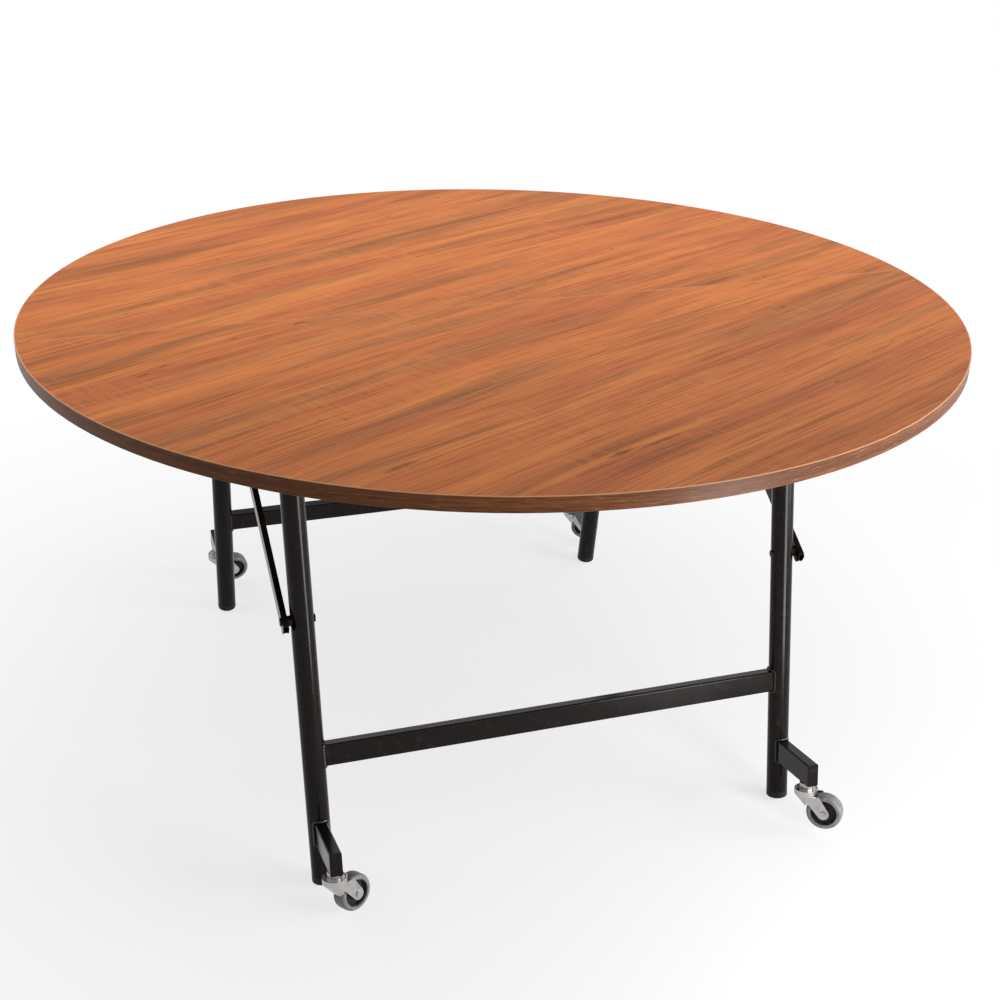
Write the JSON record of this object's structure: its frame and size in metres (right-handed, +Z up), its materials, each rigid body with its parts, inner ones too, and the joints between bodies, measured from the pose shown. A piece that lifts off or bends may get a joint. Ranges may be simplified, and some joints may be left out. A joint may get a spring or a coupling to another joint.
{
  "type": "folding banquet table",
  "caption": "Round dining table on casters that folds down at a central seam, with laminate half tops on black tubular leg frames tied by crossing link braces.",
  "frame": {"origin": "on the floor, under the centre of the round top", "axes": "+X runs across the seam towards the front half, +Y along the seam, +Z up"},
  "size_m": [1.5236, 1.524, 0.75],
  "materials": {
    "laminate": "satin",
    "board_core": "matte",
    "edge_band": "satin",
    "black_steel": "semi-gloss",
    "zinc_steel": "satin",
    "black_plastic": "satin",
    "grey_rubber": "matte"
  },
  "bodies": {
    "front_half": {"front_board": "board_core", "front_laminate": "laminate", "front_edge_band": "edge_band", "front_left_rail": "black_steel", "front_right_rail": "black_steel", "front_inner_cross_rail": "black_steel", "front_outer_cross_rail": "black_steel", "front_hinge_leaves": "black_steel", "front_leg_brackets": "black_steel", "front_pivot_bolts": "zinc_steel", "front_brace_brackets": "black_steel", "seam_hinge_bolts": "zinc_steel"},
    "back_half": {"back_board": "board_core", "back_laminate": "laminate", "back_edge_band": "edge_band", "back_left_rail": "black_steel", "back_right_rail": "black_steel", "back_inner_cross_rail": "black_steel", "back_outer_cross_rail": "black_steel", "back_hinge_leaves": "black_steel", "back_leg_brackets": "black_steel", "back_pivot_bolts": "zinc_steel", "back_brace_brackets": "black_steel"},
    "front_leg": {"front_left_post": "black_steel", "front_right_post": "black_steel", "front_crossbar": "black_steel", "front_left_caster_arm": "black_steel", "front_right_caster_arm": "black_steel", "front_foot_caps": "black_plastic", "front_brace_bolts": "black_steel", "front_caster_stems": "zinc_steel"},
    "back_leg": {"back_left_post": "black_steel", "back_right_post": "black_steel", "back_crossbar": "black_steel", "back_left_caster_arm": "black_steel", "back_right_caster_arm": "black_steel", "back_foot_caps": "black_plastic", "back_brace_bolts": "black_steel", "back_caster_stems": "zinc_steel"},
    "front_left_brace": {"front_left_brace": "black_steel"},
    "front_right_brace": {"front_right_brace": "black_steel"},
    "back_left_brace": {"back_left_brace": "black_steel"},
    "back_right_brace": {"back_right_brace": "black_steel"},
    "front_left_caster_fork": {"front_left_caster_fork": "zinc_steel", "front_left_caster_axle": "zinc_steel"},
    "front_left_caster_wheel": {"front_left_caster_hub": "black_plastic", "front_left_caster_tyre": "grey_rubber"},
    "front_right_caster_fork": {"front_right_caster_fork": "zinc_steel", "front_right_caster_axle": "zinc_steel"},
    "front_right_caster_wheel": {"front_right_caster_hub": "black_plastic", "front_right_caster_tyre": "grey_rubber"},
    "back_left_caster_fork": {"back_left_caster_fork": "zinc_steel", "back_left_caster_axle": "zinc_steel"},
    "back_left_caster_wheel": {"back_left_caster_hub": "black_plastic", "back_left_caster_tyre": "grey_rubber"},
    "back_right_caster_fork": {"back_right_caster_fork": "zinc_steel", "back_right_caster_axle": "zinc_steel"},
    "back_right_caster_wheel": {"back_right_caster_hub": "black_plastic", "back_right_caster_tyre": "grey_rubber"}
  },
  "joints": [
    {"name": "seam_fold", "type": "hinge", "parent": "front_half", "child": "back_half", "pos_m": [0, -0.028, 0.677], "axis": [0, -1, 0], "range_deg": [0, 180]},
    {"name": "front_leg_fold", "type": "hinge", "parent": "front_half", "child": "front_leg", "pos_m": [0.339, -0.028, 0.699], "axis": [0, -1, 0], "range_deg": [0, 80.2]},
    {"name": "front_left_brace_swing", "type": "hinge", "parent": "front_leg", "child": "front_left_brace", "pos_m": [0.38615, -0.4175, 0.42604], "axis": [0, 1, 0], "range_deg": [0, 45.1]},
    {"name": "front_right_brace_swing", "type": "hinge", "parent": "front_leg", "child": "front_right_brace", "pos_m": [0.38615, 0.3615, 0.42604], "axis": [0, 1, 0], "range_deg": [0, 45.1]},
    {"name": "back_leg_fold", "type": "hinge", "parent": "back_half", "child": "back_leg", "pos_m": [-0.339, -0.028, 0.699], "axis": [0, 1, 0], "range_deg": [0, 80.2]},
    {"name": "back_left_brace_swing", "type": "hinge", "parent": "back_leg", "child": "back_left_brace", "pos_m": [-0.38615, -0.4175, 0.42604], "axis": [0, -1, 0], "range_deg": [0, 45.1]},
    {"name": "back_right_brace_swing", "type": "hinge", "parent": "back_leg", "child": "back_right_brace", "pos_m": [-0.38615, 0.3615, 0.42604], "axis": [0, -1, 0], "range_deg": [0, 45.1]},
    {"name": "front_left_caster_swivel", "type": "hinge", "parent": "front_leg", "child": "front_left_caster_fork", "pos_m": [0.55013, -0.4175, 0.073], "axis": [-0.1702, 0, 0.9854], "continuous": true},
    {"name": "front_left_wheel_spin", "type": "hinge", "parent": "front_left_caster_fork", "child": "front_left_caster_wheel", "pos_m": [0.54031, -0.39065, 0.03883], "axis": [-0.8534, -0.5, -0.1474], "continuous": true},
    {"name": "front_right_caster_swivel", "type": "hinge", "parent": "front_leg", "child": "front_right_caster_fork", "pos_m": [0.55013, 0.3615, 0.073], "axis": [-0.1702, 0, 0.9854], "continuous": true},
    {"name": "front_right_wheel_spin", "type": "hinge", "parent": "front_right_caster_fork", "child": "front_right_caster_wheel", "pos_m": [0.57521, 0.38525, 0.04486], "axis": [-0.7549, 0.6428, -0.1304], "continuous": true},
    {"name": "back_left_caster_swivel", "type": "hinge", "parent": "back_leg", "child": "back_left_caster_fork", "pos_m": [-0.55013, -0.4175, 0.073], "axis": [0.1702, 0, 0.9854], "continuous": true},
    {"name": "back_left_wheel_spin", "type": "hinge", "parent": "back_left_caster_fork", "child": "back_left_caster_wheel", "pos_m": [-0.55824, -0.38662, 0.04193], "axis": [0.9817, 0.0872, -0.1696], "continuous": true},
    {"name": "back_right_caster_swivel", "type": "hinge", "parent": "back_leg", "child": "back_right_caster_fork", "pos_m": [-0.55013, 0.3615, 0.073], "axis": [0.1702, 0, 0.9854], "continuous": true},
    {"name": "back_right_wheel_spin", "type": "hinge", "parent": "back_right_caster_fork", "child": "back_right_caster_wheel", "pos_m": [-0.54315, 0.38982, 0.03932], "axis": [0.9002, -0.4067, -0.1555], "continuous": true}
  ],
  "couplings": [
    {"joint": "front_leg_fold", "follows": "seam_fold", "ratio": 0.44556},
    {"joint": "front_left_brace_swing", "follows": "seam_fold", "ratio": 0.25054},
    {"joint": "front_right_brace_swing", "follows": "seam_fold", "ratio": 0.25054},
    {"joint": "back_leg_fold", "follows": "seam_fold", "ratio": 0.44556},
    {"joint": "back_left_brace_swing", "follows": "seam_fold", "ratio": 0.25054},
    {"joint": "back_right_brace_swing", "follows": "seam_fold", "ratio": 0.25054}
  ]
}
